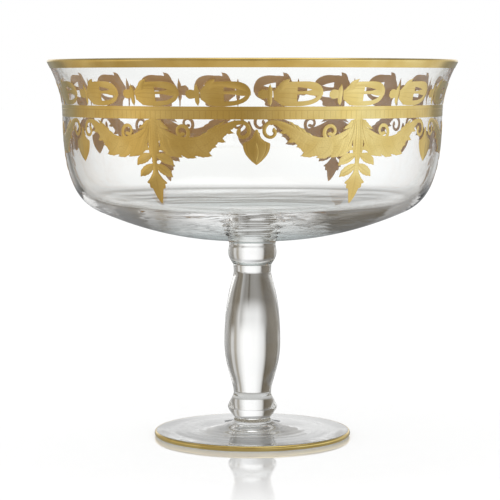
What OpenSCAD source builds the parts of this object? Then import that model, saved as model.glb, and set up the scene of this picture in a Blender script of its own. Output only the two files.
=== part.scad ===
// Footed glass compote bowl with fired gilding.
// The glass is five gathers joined hot, one above the other on the Z axis.
// The gilding is a thin raised skin on the outside of the glass.
// Z = 0 is the surface that the foot stands on, and the front faces -Y.

/* [Bowl] */
// Diameter of the glass at the edge of the lip
rim_d = 240.8; // [210:0.2:280]
// Height of the bowl from the stem to the edge of the lip
bowl_h = 104.3; // [90:0.1:125]
// Diameter at the waist, where the lip starts to flare
waist_d = 223.4; // [200:0.2:245]
// Height of the flared lip above the waist
flare_h = 29.2; // [22:0.1:36]
// Height over which the lip still rises straight
flare_root = 12.4; // [6:0.1:18]
// Length over which the wall runs straight below the waist
wall_run = 44.8; // [34:0.2:52]
// Diameter at the heel, where the wall has turned into the underside
heel_d = 178.4; // [150:0.2:200]
// Height of the heel above the stem
heel_h = 16.6; // [12:0.1:22]
// Slope of the underside at the heel, in degrees
heel_slope = 23.5; // [18:0.5:30]
// Length over which the heel turns upwards
heel_turn = 12.8; // [8:0.1:18]
// Thickness of the glass at the lip
lip_t = 2; // [1.4:0.1:3]
// Thickness of the wall at the waist
wall_t = 2.6; // [1.8:0.1:4]
// Thickness of the glass at the heel
heel_t = 3.6; // [2.4:0.1:6]
// Thickness of the floor over the stem
floor_t = 5.5; // [4:0.1:9]

/* [Stem] */
// Diameter of the joint between the bowl and the upper knop
bowl_joint_d = 28.6; // [24:0.1:36]
// Height of the upper knop
upper_knop_h = 15.2; // [12:0.1:20]
// Widest diameter of the upper knop
upper_knop_d = 28.8; // [25:0.1:38]
// Height of that widest part above the knop's lower joint
upper_knop_belly = 7.7; // [5:0.1:9]
// Diameter of the slight hollow under the bowl
collar_d = 27.6; // [23:0.1:32]
// Height of the knop above that hollow
collar_h = 3; // [2:0.1:4]
// Diameter of the joint between the upper knop and the baluster
upper_joint_d = 22.6; // [18:0.1:26]
// Height of the baluster
baluster_h = 76.5; // [60:0.5:110]
// Diameter of the neck at the top of the baluster
neck_d = 22.2; // [16:0.1:26]
// Distance from the baluster's top to that neck
neck_drop = 4; // [2:0.1:8]
// Widest diameter of the baluster
baluster_d = 33.4; // [26:0.1:44]
// Height of that widest part above the baluster's lower joint
baluster_belly = 30.2; // [20:0.1:36]
// Diameter of the joint between the baluster and the lower knop
lower_joint_d = 22.2; // [16:0.1:26]
// Height of the lower knop
lower_knop_h = 15.2; // [12:0.1:20]
// Widest diameter of the lower knop
lower_knop_d = 29.2; // [25:0.1:38]
// Height of that widest part above the foot
lower_knop_belly = 6.4; // [4:0.1:9]
// Diameter of the joint between the lower knop and the foot
foot_joint_d = 21.4; // [16:0.1:26]

/* [Foot] */
// Diameter of the foot
foot_d = 116.4; // [100:0.2:140]
// Height of the foot at the stem
foot_h = 10.6; // [8:0.1:16]
// Thickness of the foot's edge
foot_edge_t = 3.3; // [2.4:0.1:5]
// Length over which the foot's top slopes straight inwards
foot_run = 27; // [18:0.5:34]
// Slope of the foot's top at the edge, in degrees
foot_slope = 3.5; // [1:0.1:6]
// Height over which the mound rises straight to the stem
mound_rise = 5.6; // [3:0.1:6]
// Width of the flat ring that the foot rests on
rest_w = 8; // [4:0.1:14]
// Depth of the hollow under the foot
hollow_h = 1.6; // [0.6:0.1:2.4]

/* [Gilding] */
// Thickness of the raised gold
gilt_t = 0.25; // [0.15:0.01:0.5]
// Height of the gold on the outside of the lip
rim_gilt_h = 5.3; // [3:0.1:8]
// Height of the gold on the inside of the lip
rim_gilt_inside = 2; // [1:0.1:4]
// Width of the gold on top of the foot's edge
foot_gilt_w = 1.2; // [0.5:0.1:3]
// Distance from the edge of the lip down to the frieze band
band_drop = 24.3; // [20:0.1:28]
// Height of the frieze band
band_h = 6.9; // [5:0.1:9]
// Height of the frieze scrolls, without their leaf tips
scroll_h = 13.6; // [10:0.1:15]
// Gap between one scroll and the bud of the next
scroll_gap = 4.8; // [2:0.1:8]
// Length of the bud before each scroll
bud_l = 5.2; // [3:0.1:8]
// Width of the upright leaf between bud and scroll
cross_leaf_w = 2.6; // [1.6:0.1:4]
// Frieze scrolls for each pendant
scrolls_each = 3; // [2:1:4]
// Length of the leaf drops
drop_l = 46.4; // [38:0.2:52]
// Width of the leaf drops across their lobes
drop_w = 23; // [18:0.2:28]
// Depth of the swags below the band
swag_l = 20.5; // [16:0.1:24]
// Engraved gap between the swags and the leaf drops
swag_gap = 0.5; // [0.3:0.1:1]
// Diameter of the volutes beside the pendants
volute_d = 8.6; // [6:0.1:11]
// Diameter of the volutes beside the leaf drops
small_volute_d = 8; // [6:0.1:9]
// Width of the pendants
pendant_w = 14.8; // [11:0.1:18]
// Length of the pendants
pendant_l = 19; // [15:0.1:24]
// Distance from the band down to the top of the pendants
pendant_drop = 5.5; // [4:0.1:8]

/* [Hidden] */
$fn = 144;
GLASS = [0.90, 0.93, 0.92, 0.45];
GOLD = [0.80, 0.64, 0.31];

// Pendants round the bowl, with a leaf drop halfway between each pair
pendant_n = 6;
scroll_n = pendant_n * scrolls_each;
pendant_pitch = 360 / pendant_n;
scroll_pitch = 360 / scroll_n;

// Heights of the joints
lower_knop_z = foot_h;
baluster_z = lower_knop_z + lower_knop_h;
upper_knop_z = baluster_z + baluster_h;
bowl_z = upper_knop_z + upper_knop_h;
waist_z = bowl_z + bowl_h - flare_h;
rim_z = bowl_z + bowl_h;

// Heights of the frieze band
band_top = rim_z - band_drop;
band_z = band_top - band_h;

// Lengths along the waist for one frieze scroll, and from a pendant to the next leaf drop
waist_r = waist_d / 2;
scroll_arc = PI * waist_d / scroll_n;
swag_arc = 2 * waist_r * sin(pendant_pitch / 4);

// Edge of a leaf drop's skirt, from its top to its foot, which the swags end beside
skirt_top = [0.66 * drop_w / 2, -0.165 * drop_l];
skirt_foot = [0.49 * drop_w / 2, -0.37 * drop_l];

function numbered(name, i) = str(name, "_", i < 10 ? "0" : "", i);

// Curves

function mix(a, b, t) = a + (b - a) * t;

function reversed(list) = [for (i = [len(list) - 1:-1:0]) list[i]];

// Point at t on the curve that its control points p give
function curve_point(p, t) =
    len(p) == 1 ? p[0] : curve_point([for (i = [0:len(p) - 2]) mix(p[i], p[i + 1], t)], t);

function curve(p, n) = [for (i = [0:n]) curve_point(p, i / n)];

// Points of a curve without its first, to follow another
function onward(p, n) = [for (i = [1:n]) curve_point(p, i / n)];

// Curve from radius r0 at z0 to r1 at z1, upright at both ends over the shares a and b of its height
function swell(r0, z0, r1, z1, a, b) = [[r0, z0], [r0, mix(z0, z1, a)], [r1, mix(z1, z0, b)], [r1, z1]];

function arc(centre, r, from, to, n) =
    [for (i = [0:n]) centre + r * [cos(mix(from, to, i / n)), sin(mix(from, to, i / n))]];

// Volute that winds from radius r0 to r1, closing in by the same share at each degree
function scroll_spiral(centre, r0, r1, from, to, n) =
    [for (i = [0:n]) let (t = i / n, a = mix(from, to, t)) centre + r0 * pow(r1 / r0, t) * [cos(a), sin(a)]];

function heading(path, i) =
    let (d = path[min(i + 1, len(path) - 1)] - path[max(i - 1, 0)]) d / norm(d);

// Point beside a path, at distance w to its left
function beside(path, i, w) = let (h = heading(path, i)) path[i] + w * [-h[1], h[0]];

function beside_all(path, w) = [for (i = [0:len(path) - 1]) beside(path, i, w)];

// Outline of a strip along a path, with its own width to the left and right at each point
function strip(path, left, right) = concat(
    [for (i = [0:len(path) - 1]) beside(path, i, left[i])],
    [for (i = [len(path) - 1:-1:0]) beside(path, i, -right[i])]
);

// Outline through corners [x, y, bulge], where bulge is how far the edge to the next corner swells to its left
function outline(corners, n = 6) = [
    for (k = [0:len(corners) - 1])
        let (
            a = [corners[k][0], corners[k][1]],
            next = corners[(k + 1) % len(corners)],
            b = [next[0], next[1]],
            d = b - a,
            middle = (a + b) / 2 + 2 * corners[k][2] * [-d[1], d[0]] / norm(d)
        )
        if (corners[k][2] == 0) a
        else each [for (i = [0:n - 1]) curve_point([a, middle, b], i / n)]
];

// The right half of an outline, top to tip, and its mirror image from tip to top
function mirrored(corners) = concat(corners, [
    for (k = [len(corners) - 1:-1:0])
        [-corners[k][0], corners[k][1], k == 0 ? 0 : corners[k - 1][2]]
]);

// Outside of the bowl, from the stem joint to the lip

heel = [heel_d / 2, bowl_z + heel_h];
heel_way = [cos(heel_slope), sin(heel_slope)];
waist = [waist_r, waist_z];
rim = [rim_d / 2, rim_z];

underside_curve = [[bowl_joint_d / 2, bowl_z], heel - heel_way * heel_h / sin(heel_slope), heel];
side_curve = [heel, heel + heel_way * heel_turn, waist - [0, wall_run], waist];
lip_curve = [waist, waist + [0, flare_root], rim];

underside_n = 10;
side_n = 18;
lip_n = 9;
bowl_outside = concat(curve(underside_curve, underside_n), onward(side_curve, side_n), onward(lip_curve, lip_n));

// Thickness of the glass at each point of the outside
bowl_t = concat(
    [for (i = [0:underside_n]) mix(floor_t, heel_t, i / underside_n)],
    [for (i = [1:side_n]) mix(heel_t, wall_t, i / side_n)],
    [for (i = [1:lip_n]) mix(wall_t, lip_t, i / lip_n)]
);
bowl_inside = [for (i = [0:len(bowl_outside) - 1]) beside(bowl_outside, i, bowl_t[i])];

// Rounded edge of the lip, grown by the gilding where it is gilded
lip_last = len(bowl_outside) - 1;
lip_way = heading(bowl_outside, lip_last);
lip_angle = atan2(lip_way[1], lip_way[0]);
lip_centre = (bowl_outside[lip_last] + bowl_inside[lip_last]) / 2;

function lip_edge(grown) = arc(lip_centre, lip_t / 2 + grown, lip_angle - 90, lip_angle + 90, 10);

// Edge of the foot

foot_r = foot_d / 2;
foot_edge_r = foot_edge_t / 2;
foot_edge_centre = [foot_r - foot_edge_r, foot_edge_r];
foot_top_way = [-cos(foot_slope), sin(foot_slope)];
foot_top_curve = [
    foot_edge_centre + [0, foot_edge_r],
    foot_edge_centre + [0, foot_edge_r] + foot_top_way * foot_run,
    [foot_joint_d / 2, foot_h - mound_rise],
    [foot_joint_d / 2, foot_h]
];
// The foot's gold starts this far below the middle of its edge, in degrees
foot_gilt_from = -48;

// Glass

module lathe(profile) rotate_extrude() polygon(profile);

// A solid piece of the stem, closed on the axis at both ends
module turned(profile)
    lathe(concat([[0, profile[0][1]]], profile, [[0, profile[len(profile) - 1][1]]]));

module foot() color(GLASS) {
    rest_inner_r = foot_edge_centre[0] - rest_w;
    lathe(concat(
        curve([[0, hollow_h], [rest_inner_r / 2, hollow_h], [rest_inner_r, 0]], 8),
        arc(foot_edge_centre, foot_edge_r, -90, 90, 12),
        onward(foot_top_curve, 14),
        [[0, foot_h]]
    ));
}

module lower_knop() color(GLASS) {
    belly_z = lower_knop_z + lower_knop_belly;
    top_z = lower_knop_z + lower_knop_h;
    turned(concat(
        curve(swell(foot_joint_d / 2, lower_knop_z, lower_knop_d / 2, belly_z, 0.08, 0.31), 8),
        onward(swell(lower_knop_d / 2, belly_z, lower_joint_d / 2, top_z, 0.23, 0.28), 8)
    ));
}

module baluster() color(GLASS) {
    belly_z = baluster_z + baluster_belly;
    top_z = baluster_z + baluster_h;
    neck_z = top_z - neck_drop;
    turned(concat(
        curve(swell(lower_joint_d / 2, baluster_z, baluster_d / 2, belly_z, 0.2, 0.48), 12),
        onward(swell(baluster_d / 2, belly_z, neck_d / 2, neck_z, 0.69, 0.11), 16),
        onward(swell(neck_d / 2, neck_z, upper_joint_d / 2, top_z, 0.38, 0.25), 4)
    ));
}

module upper_knop() color(GLASS) {
    belly_z = upper_knop_z + upper_knop_belly;
    collar_z = bowl_z - collar_h;
    turned(concat(
        curve(swell(upper_joint_d / 2, upper_knop_z, upper_knop_d / 2, belly_z, 0.1, 0.55), 8),
        onward(swell(upper_knop_d / 2, belly_z, collar_d / 2, collar_z, 0.36, 0.31), 6),
        onward(swell(collar_d / 2, collar_z, bowl_joint_d / 2, bowl_z, 0.33, 0.2), 4)
    ));
}

module bowl() color(GLASS)
    lathe(concat(
        [[0, bowl_z]],
        bowl_outside,
        lip_edge(0),
        reversed(bowl_inside),
        [[0, bowl_z + floor_t]]
    ));

// Gilding on the edges of the glass

module foot_gilding() color(GOLD) {
    from = foot_gilt_from;
    inner = foot_edge_centre + [0, foot_edge_r] + foot_top_way * foot_gilt_w;
    up = [sin(foot_slope), cos(foot_slope)];
    lathe(concat(
        arc(foot_edge_centre, foot_edge_r, from, 90, 10),
        [inner, inner + gilt_t * up],
        reversed(arc(foot_edge_centre, foot_edge_r + gilt_t, from, 90 - foot_slope, 10))
    ));
}

module rim_gilding() color(GOLD) {
    lip_from = lip_last - lip_n + 1;
    outside = [for (i = [lip_from:lip_last]) bowl_outside[i]];
    inside = [for (i = [lip_from:lip_last]) bowl_inside[i]];
    rotate_extrude() intersection() {
        polygon(concat(
            outside,
            lip_edge(0),
            reversed(inside),
            beside_all(inside, gilt_t),
            reversed(lip_edge(gilt_t)),
            reversed(beside_all(outside, -gilt_t))
        ));
        translate(lip_centre) rotate(lip_angle) {
            translate([-rim_gilt_h, -lip_t - gilt_t]) square([rim_gilt_h + lip_t, lip_t + gilt_t]);
            translate([-rim_gilt_inside, 0]) square([rim_gilt_inside + lip_t, lip_t + gilt_t]);
        }
    }
}

// Gilding on the wall of the bowl

module wall_skin() polygon(concat(bowl_outside, reversed(beside_all(bowl_outside, -gilt_t))));

module frieze_band() color(GOLD)
    rotate_extrude() intersection() {
        wall_skin();
        translate([0, band_z]) square([rim_d, band_h]);
    }

// The wall's skin within a flat drawing that stands upright in front of it.
// The drawing's x runs along the wall from the angle given, and its y is the height.
module on_wall(angle, half_span) color(GOLD) rotate(angle) {
    intersection() {
        rotate(-90 - half_span) rotate_extrude(angle = 2 * half_span) wall_skin();
        rotate([90, 0, 0]) linear_extrude(rim_d) children();
    }
}

// A curled leaf with two slits, an upright leaf before it and a bud before that
module scroll_drawing() {
    length = scroll_arc - scroll_gap - bud_l;
    start = -length / 2;
    end = length / 2;
    middle_y = scroll_h / 2;
    difference() {
        polygon(outline([
            [start, 0.32 * scroll_h, 0],
            [start, 0.56 * scroll_h, 1.1],
            [-0.2 * length, 1.08 * scroll_h, 0],
            [-0.17 * length, 0.96 * scroll_h, 0.9],
            [0.26 * length, 0.93 * scroll_h, 1.2],
            [end, middle_y, 1.4],
            [0.3 * length, 0.09 * scroll_h, 0.3],
            [0.17 * length, 0, 0],
            [-0.36 * length, 0, 0.8]
        ]));
        polygon(outline([
            [-0.02 * length, 0.59 * scroll_h, 0.2],
            [-0.02 * length, 0.76 * scroll_h, 0.3],
            [0.23 * length, 0.65 * scroll_h, 0.2]
        ], 4));
        polygon(outline([
            [0.02 * length, 0.23 * scroll_h, 0.3],
            [-0.03 * length, 0.47 * scroll_h, 0.3],
            [0.4 * length, 0.41 * scroll_h, 0.6]
        ], 4));
    }
    polygon(outline([
        [start + 0.3 * cross_leaf_w, 0.04 * scroll_h, cross_leaf_w / 2],
        [start - 0.3 * cross_leaf_w, 0.84 * scroll_h, cross_leaf_w / 2]
    ]));
    polygon(outline([
        [start - 0.2 * cross_leaf_w, middle_y, 0.36 * bud_l],
        [start - bud_l, middle_y, 0.36 * bud_l]
    ]));
}

// A shield on a short neck
module pendant_drawing() {
    r = pendant_w / 2;
    polygon(outline(mirrored([
        [0.07 * r, 0, -0.3],
        [0.3 * r, -0.28 * pendant_l, -0.4],
        [r, -0.39 * pendant_l, 1.1],
        [0, -pendant_l, 0]
    ])));
}

// Fluted leaf with a spreading skirt, a lobed tier and a pointed end leaf
module drop_drawing() {
    r = drop_w / 2;
    polygon(outline(mirrored([
        [0.43 * r, 0, -0.4],
        [skirt_top[0], skirt_top[1], 0],
        [skirt_foot[0], skirt_foot[1], 0.4],
        [0.3 * r, -0.3 * drop_l, 0.2],
        [0.27 * r, -0.4 * drop_l, 0.9],
        [0.97 * r, -0.54 * drop_l, -0.5],
        [0.64 * r, -0.56 * drop_l, 0.5],
        [0.83 * r, -0.66 * drop_l, 0.2],
        [0.1 * r, -0.565 * drop_l, 0.3],
        [0.58 * r, -0.75 * drop_l, 0],
        [0.44 * r, -0.775 * drop_l, 0],
        [0.47 * r, -0.81 * drop_l, 0],
        [0.3 * r, -0.84 * drop_l, 0.3],
        [0, -drop_l, 0]
    ]), 4));
}

// Half-widths of a leaf garland from its volute to its root, with tips that lean towards the volute
function garland(thin, thick, tips, depth, n) = [
    for (i = [1:n])
        let (t = i / n, from_tip = tips * t - floor(tips * t))
        mix(thin, thick, min(1, 1.5 * t)) * (1 - depth * pow(from_tip, 1.5))
];

// Leaf garland from a leaf drop up to the volute beside a pendant, drawn to the pendant's right
module swag_drawing() {
    skirt = skirt_top - skirt_foot;
    skirt_way = [skirt[1], skirt[0]] / norm(skirt);
    skirt_middle = (skirt_top + skirt_foot) / 2;
    root = [swag_arc - skirt_middle[0], skirt_middle[1]] - swag_gap * skirt_way;
    volute_r = volute_d / 2;
    volute = [1.93, -1.72] * volute_r;
    curl = scroll_spiral(volute, 1.3 * volute_r, 0.3 * volute_r, 105, 450, 24);
    leaving = volute + 1.3 * volute_r * [cos(105), sin(105)];
    garland_n = 36;
    spine = concat(reversed(curl), onward([
        leaving,
        leaving + 0.36 * swag_l * [sin(105), -cos(105)],
        [0.43 * root[0], -0.44 * swag_l],
        [0.585 * root[0], -swag_l],
        root - 0.2 * root[0] * skirt_way,
        root
    ], garland_n));
    curl_w = [
        for (i = [0:len(curl) - 1])
            let (bulb = 0.24 * sin(min(180, 25 * i + 10)))
            max(bulb, mix(0.15, 0.24, i / len(curl))) * volute_r
    ];
    polygon(strip(
        spine,
        concat(curl_w, garland(0.24 * volute_r, 0.21 * swag_l, 3, 0.12, garland_n)),
        concat(curl_w, garland(0.24 * volute_r, 0.28 * swag_l, 6, 0.36, garland_n))
    ));
    eye_r = small_volute_d / 2;
    eye = [0.83 * root[0], -0.33 * swag_l];
    eye_curl = scroll_spiral(eye, 1.15 * eye_r, 0.35 * eye_r, 255, -120, 24);
    eye_w = [for (i = [0:len(eye_curl) - 1]) mix(0.24, 0.16, i / len(eye_curl)) * eye_r];
    polygon(strip(eye_curl, eye_w, eye_w));
}

module frieze_scroll(i)
    on_wall((i - 0.44) * scroll_pitch, 0.8 * scroll_pitch) translate([0, band_top]) scroll_drawing();

module pendant(i)
    on_wall((i - 1) * pendant_pitch, pendant_pitch / 4)
        translate([0, band_z - pendant_drop]) pendant_drawing();

module leaf_drop(i)
    on_wall((i - 0.5) * pendant_pitch, pendant_pitch / 4) translate([0, band_z]) drop_drawing();

module swag_right(i)
    on_wall((i - 0.75) * pendant_pitch, 0.3 * pendant_pitch)
        translate([-swag_arc / 2, band_z]) swag_drawing();

module swag_left(i)
    on_wall((i - 1.25) * pendant_pitch, 0.3 * pendant_pitch)
        translate([swag_arc / 2, band_z]) mirror([1, 0]) swag_drawing();

foot();
lower_knop();
baluster();
upper_knop();
bowl();
foot_gilding();
rim_gilding();
frieze_band();
for (i = [1:scroll_n]) frieze_scroll(i);
for (i = [1:pendant_n]) pendant(i);
for (i = [1:pendant_n]) leaf_drop(i);
for (i = [1:pendant_n]) swag_right(i);
for (i = [1:pendant_n]) swag_left(i);
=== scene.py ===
import math

import bmesh
import bpy
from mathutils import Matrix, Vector


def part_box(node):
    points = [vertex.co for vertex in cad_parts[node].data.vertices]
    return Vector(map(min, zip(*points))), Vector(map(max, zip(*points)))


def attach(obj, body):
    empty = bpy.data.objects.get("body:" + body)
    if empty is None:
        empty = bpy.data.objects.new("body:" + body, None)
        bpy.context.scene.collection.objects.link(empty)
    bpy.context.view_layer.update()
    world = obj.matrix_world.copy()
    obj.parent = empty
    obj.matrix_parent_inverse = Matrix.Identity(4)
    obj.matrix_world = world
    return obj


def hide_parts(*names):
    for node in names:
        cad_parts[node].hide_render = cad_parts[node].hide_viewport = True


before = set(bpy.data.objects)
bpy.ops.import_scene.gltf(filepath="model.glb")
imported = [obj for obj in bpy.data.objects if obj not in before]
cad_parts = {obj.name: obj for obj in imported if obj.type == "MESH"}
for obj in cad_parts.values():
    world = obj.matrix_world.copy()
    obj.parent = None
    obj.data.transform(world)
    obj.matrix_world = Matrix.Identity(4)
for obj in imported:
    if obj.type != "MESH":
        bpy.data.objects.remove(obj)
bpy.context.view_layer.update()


# Foot: a disc of clear glass, spun out flat while hot, with a low mound where the stem is
# joined on and a shallow hollow below, so that it stands on a ring. Its edge is fire polished.

MM = 0.001
foot_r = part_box("foot")[1].x
foot_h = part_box("foot")[1].z
foot_joint_r = 10.7 * MM
foot_edge_r = 1.65 * MM
foot_slope = math.radians(3.5)
foot_run = 27 * MM
mound_rise = 5.6 * MM
rest_w = 8 * MM
hollow_h = 1.6 * MM
on_axis = 0.0001 * MM
turned_crease = math.radians(50)


def curve(points, steps):
    """Points along the smooth curve that the control points give."""
    found = []
    for step in range(steps + 1):
        level = [Vector(point) for point in points]
        while len(level) > 1:
            level = [a.lerp(b, step / steps) for a, b in zip(level, level[1:])]
        found.append(level[0])
    return found


def arc(centre, radius, start, end, steps):
    """Points of an arc from one angle to another, in degrees."""
    angles = [math.radians(start + (end - start) * step / steps) for step in range(steps + 1)]
    return [Vector(centre) + radius * Vector((math.cos(a), math.sin(a))) for a in angles]


def lathe(name, profile, patches=(), closed=False, tags=None, turns=240):
    """Spins a profile of (radius, height) points round the axis.

    Each patch lists segments of the profile that take the next material after the first.
    The tags give each point its place across the gilding and whether it is its face.
    """
    work = bmesh.new()
    tag_layer = work.verts.layers.float_vector.new("leaf") if tags else None
    circles = []
    for k, (radius, height) in enumerate(profile):
        around = turns if radius > on_axis else 1
        angles = [2 * math.pi * i / turns for i in range(around)]
        spots = [(radius * math.sin(a), -radius * math.cos(a), height) for a in angles]
        circles.append([work.verts.new(spot) for spot in spots])
        if tags:
            for vert in circles[-1]:
                vert[tag_layer] = (0, *tags[k])
    pairs = list(zip(circles, circles[1:] + circles[:1] if closed else circles[1:]))
    patch_of = {k % len(pairs): place for place, patch in enumerate(patches, 1) for k in patch}
    for k, (low, high) in enumerate(pairs):
        for i in range(turns):
            j = i + 1
            corners = (low[i % len(low)], low[j % len(low)], high[j % len(high)], high[i % len(high)])
            face = work.faces.new(list(dict.fromkeys(corners)))
            face.smooth = True
            face.material_index = patch_of.get(k, 0)
    bmesh.ops.recalc_face_normals(work, faces=work.faces)
    for edge in work.edges:
        edge.smooth = edge.calc_face_angle(0) < turned_crease
    mesh = bpy.data.meshes.new(name)
    work.to_mesh(mesh)
    work.free()
    return mesh


class Link:
    """A socket of a node tree. Maths on it is written as Python and adds its nodes."""

    def __init__(self, tree, socket=None):
        self.tree = tree
        self.socket = socket

    def node(self, kind, settings=None, inputs=None, output=0):
        """Adds a node, sets it up, fills its sockets and gives the output named."""
        made = self.tree.nodes.new(kind)
        for name, value in (settings or {}).items():
            if name == "stops":
                for place, colour in value[2:]:
                    made.color_ramp.elements.new(place)
                for element, (place, colour) in zip(made.color_ramp.elements, value):
                    element.position = place
                    element.color = (*colour, 1)
            else:
                setattr(made, name, value)
        for name, value in (inputs or {}).items():
            if isinstance(value, Link):
                self.tree.links.new(value.socket, made.inputs[name])
            else:
                made.inputs[name].default_value = value
        return Link(self.tree, made.outputs[output] if made.outputs else None)

    def other(self, output):
        """Another output of the same node."""
        return Link(self.tree, self.socket.node.outputs[output])

    def maths(self, operation, *values):
        """A Math node on the values."""
        return self.node("ShaderNodeMath", {"operation": operation}, dict(enumerate(values)))

    def blend(self, low, high):
        """The colour between two, by this value."""
        return self.node("ShaderNodeMix", {"data_type": "RGBA"}, {0: self, 6: low, 7: high}, 2)

    def between(self, low, high):
        """0 below low, 1 above high, and a smooth rise between them."""
        span = {"Value": self, "From Min": low, "From Max": high}
        return self.node("ShaderNodeMapRange", {"interpolation_type": "SMOOTHSTEP"}, span)

    def __add__(self, value):
        return self.maths("ADD", self, value)

    def __sub__(self, value):
        return self.maths("SUBTRACT", self, value)

    def __rsub__(self, value):
        return self.maths("SUBTRACT", value, self)

    def __mul__(self, value):
        return self.maths("MULTIPLY", self, value)

    def __truediv__(self, value):
        return self.maths("DIVIDE", self, value)

    __radd__ = __add__
    __rmul__ = __mul__


CLEAR = (0.989, 0.996, 0.991, 1)
CLEAR_SHADOW = (0.93, 0.94, 0.93, 1)
GLASS_IOR = 1.5


def clear_glass(name, waves, depth, tint=None):
    """Clear glass whose surface keeps the faint waves of its shaping, depth metres deep.

    Its colour is the tint where one is given. Light passes straight through it to the shadows.
    """
    made = bpy.data.materials.new(name)
    made.use_nodes = True
    made.node_tree.nodes.clear()
    start = Link(made.node_tree)
    place = start.node("ShaderNodeTexCoord", output="Object")
    normal = start.node("ShaderNodeBump", {}, {"Strength": 1.0, "Distance": depth, "Height": waves(place)})
    glass = start.node("ShaderNodeBsdfPrincipled", {}, {
        "Base Color": tint(place) if tint else CLEAR,
        "Roughness": 0.0,
        "IOR": GLASS_IOR,
        "Transmission Weight": 1.0,
        "Normal": normal,
    })
    passing = start.node("ShaderNodeBsdfTransparent", {}, {"Color": CLEAR_SHADOW})
    shadow = start.node("ShaderNodeLightPath", output="Is Shadow Ray")
    seen = start.node("ShaderNodeMixShader", {}, {0: shadow, 1: glass, 2: passing})
    start.node("ShaderNodeOutputMaterial", {}, {"Surface": seen})
    return made


def noise(place, scale, stretch=(1, 1, 1)):
    """Soft cloudy noise, so many clouds to the metre, stretched along the axes."""
    laid = place.node("ShaderNodeMapping", {}, {"Vector": place, "Scale": stretch})
    return place.node("ShaderNodeTexNoise", {}, {"Vector": laid, "Scale": scale, "Detail": 2.0}, "Fac")


def from_axis(place):
    """Distance from the axis."""
    flat = place.node("ShaderNodeVectorMath", {"operation": "MULTIPLY"}, {0: place, 1: (1, 1, 0)})
    return place.node("ShaderNodeVectorMath", {"operation": "LENGTH"}, {0: flat}, "Value")


def rings(place, spacing, clouds, wander):
    """Waves round the axis, spacing metres apart, that wander with soft clouds."""
    phase = from_axis(place) * (2 * math.pi / spacing) + noise(place, clouds) * wander
    return phase.maths("SINE", phase)


def spun_rings(place):
    """Rings that the spinning left in the foot."""
    return rings(place, spacing=5.5 * MM, clouds=30, wander=5) * 0.5 + noise(place, 60)


# Where two gathers of glass were joined hot, nothing is left between them to see.
melted_joint = bpy.data.materials.new("melted_joint")
melted_joint.use_nodes = True
melted_joint.node_tree.nodes.clear()
joint_start = Link(melted_joint.node_tree)
joint_clear = joint_start.node("ShaderNodeBsdfTransparent", {}, {"Color": (1, 1, 1, 1)})
joint_start.node("ShaderNodeOutputMaterial", {}, {"Surface": joint_clear})


def fit(name, mesh, materials, slot, *nodes):
    """Puts a finished mesh in place of its CAD nodes."""
    for material in materials:
        mesh.materials.append(material)
    made = bpy.data.objects.new(name, mesh)
    bpy.context.scene.collection.objects.link(made)
    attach(made, "root")
    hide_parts(*nodes)
    return made


foot_edge = Vector((foot_r - foot_edge_r, foot_edge_r))
foot_top = foot_edge + Vector((0, foot_edge_r))
foot_way = Vector((-math.cos(foot_slope), math.sin(foot_slope)))
rest_inner_r = foot_edge.x - rest_w
mound_side = Vector((foot_joint_r, foot_h - mound_rise))
mound_top = Vector((foot_joint_r, foot_h))
foot_profile = (
    curve([(0, hollow_h), (rest_inner_r / 2, hollow_h), (rest_inner_r, 0)], 24)
    + arc(foot_edge, foot_edge_r, -90, 90, 20)
    + curve([foot_top, foot_top + foot_way * foot_run, mound_side, mound_top], 48)[1:]
    + [Vector((0, foot_h))]
)
foot_finish = clear_glass("spun_glass", spun_rings, 0.012 * MM)
foot_mesh = lathe("foot_glass", foot_profile, [[-1]])
fit("foot_glass", foot_mesh, [foot_finish, melted_joint], "clear_glass", "foot")


# Stem: three solid gathers of clear glass joined hot, one above the other: a knop shaped to a
# blunt double cone, a tall baluster and a rounder knop under the bowl. The tool left faint
# upright waves.

lower_joint_r = 11.1 * MM
upper_joint_r = 11.3 * MM
bowl_joint_r = 14.3 * MM
lower_belly = 6.4 * MM
baluster_belly = 30.2 * MM
neck_r = 11.1 * MM
neck_drop = 4 * MM
upper_belly = 7.7 * MM
collar_r = 13.8 * MM
collar_h = 3 * MM


def swell(r0, z0, r1, z1, a, b, steps):
    """Curve from radius r0 at z0 to r1 at z1, upright at its ends over the shares a and b of its height."""
    return curve([(r0, z0), (r0, z0 + (z1 - z0) * a), (r1, z1 - (z1 - z0) * b), (r1, z1)], steps)


def tool_waves(place):
    """Waves that the shaping tool left up the stem."""
    return noise(place, 120, (1, 1, 0.12)) + noise(place, 40) * 0.6


def solid(*stretches):
    """Profile of a solid gather, closed on the axis at both joints."""
    points = [point for stretch in stretches for point in stretch]
    return [Vector((0, points[0].y)), *points, Vector((0, points[-1].y))]


stem_finish = clear_glass("tooled_glass", tool_waves, 0.06 * MM)


def join_on(node, profile):
    """Turns a gather of the stem, with the melted joints at its ends, and puts it in place."""
    name = node + "_glass"
    fit(name, lathe(name, profile, [[0, -1]]), [stem_finish, melted_joint], "clear_glass", node)


low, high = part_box("lower_knop")
lower_profile = solid(
    swell(foot_joint_r, low.z, high.x, low.z + lower_belly, 0.08, 0.31, 20),
    swell(high.x, low.z + lower_belly, lower_joint_r, high.z, 0.23, 0.28, 20)[1:],
)
join_on("lower_knop", lower_profile)

low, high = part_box("baluster")
baluster_profile = solid(
    swell(lower_joint_r, low.z, high.x, low.z + baluster_belly, 0.2, 0.48, 40),
    swell(high.x, low.z + baluster_belly, neck_r, high.z - neck_drop, 0.69, 0.11, 48)[1:],
    swell(neck_r, high.z - neck_drop, upper_joint_r, high.z, 0.38, 0.25, 8)[1:],
)
join_on("baluster", baluster_profile)

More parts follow.
